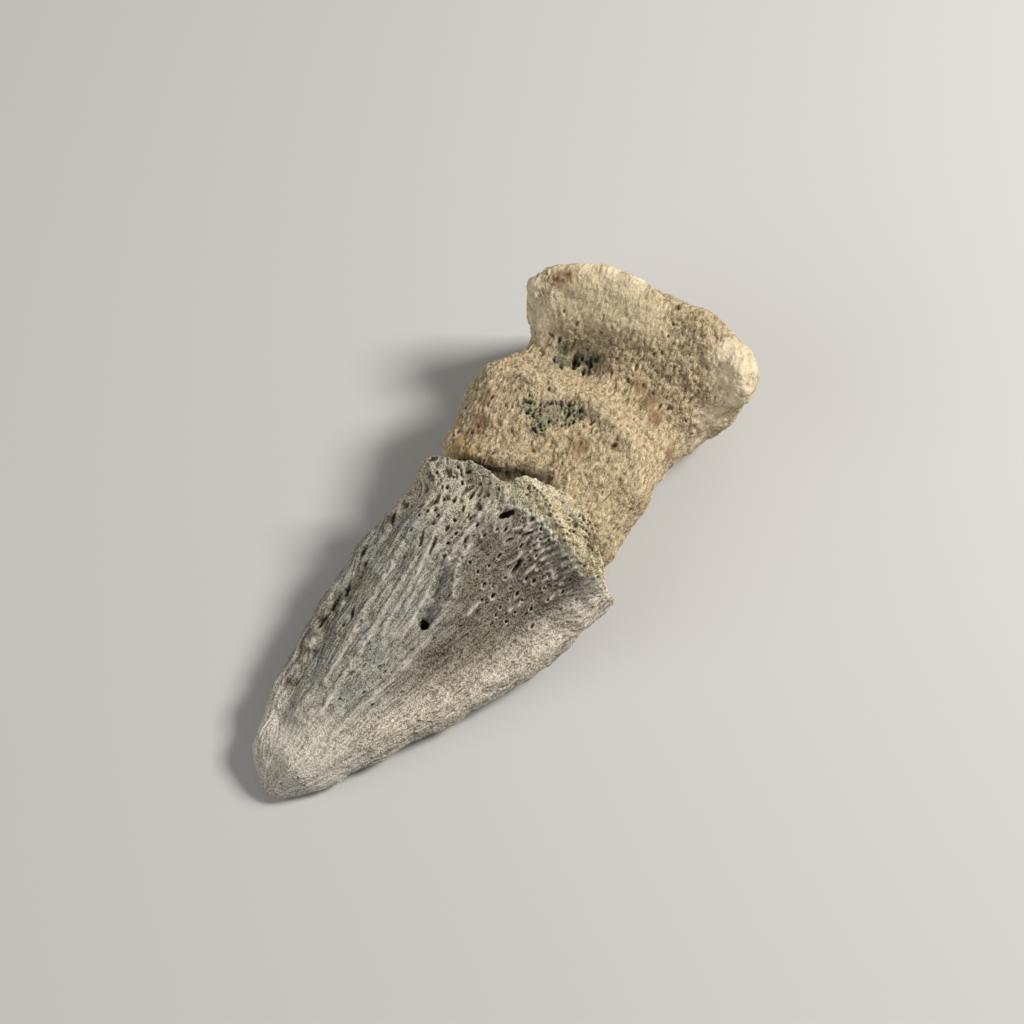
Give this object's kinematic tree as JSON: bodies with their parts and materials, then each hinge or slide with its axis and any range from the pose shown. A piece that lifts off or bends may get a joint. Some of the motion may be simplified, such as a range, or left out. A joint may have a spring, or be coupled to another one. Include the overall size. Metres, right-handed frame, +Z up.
{
  "type": "dinosaur claw fossil",
  "caption": "Fossil dinosaur claw bone, hoof-shaped and pitted, still joined to its toe bone, lying on its flat underside.",
  "frame": {"origin": "middle of the footprint of both bones, on the surface that they rest on", "axes": "+Z up, +Y along the toe from the claw's tip to the toe bone's back end, +X across the toe"},
  "size_m": [0.0638, 0.1504, 0.0405],
  "materials": {
    "claw": "dry grey fossil bone, fibrous and pitted",
    "toe_bone": "dry tan fossil bone, granular and porous"
  },
  "bodies": {
    "root": {"claw": "claw", "toe_bone": "toe_bone"}
  },
  "joints": []
}
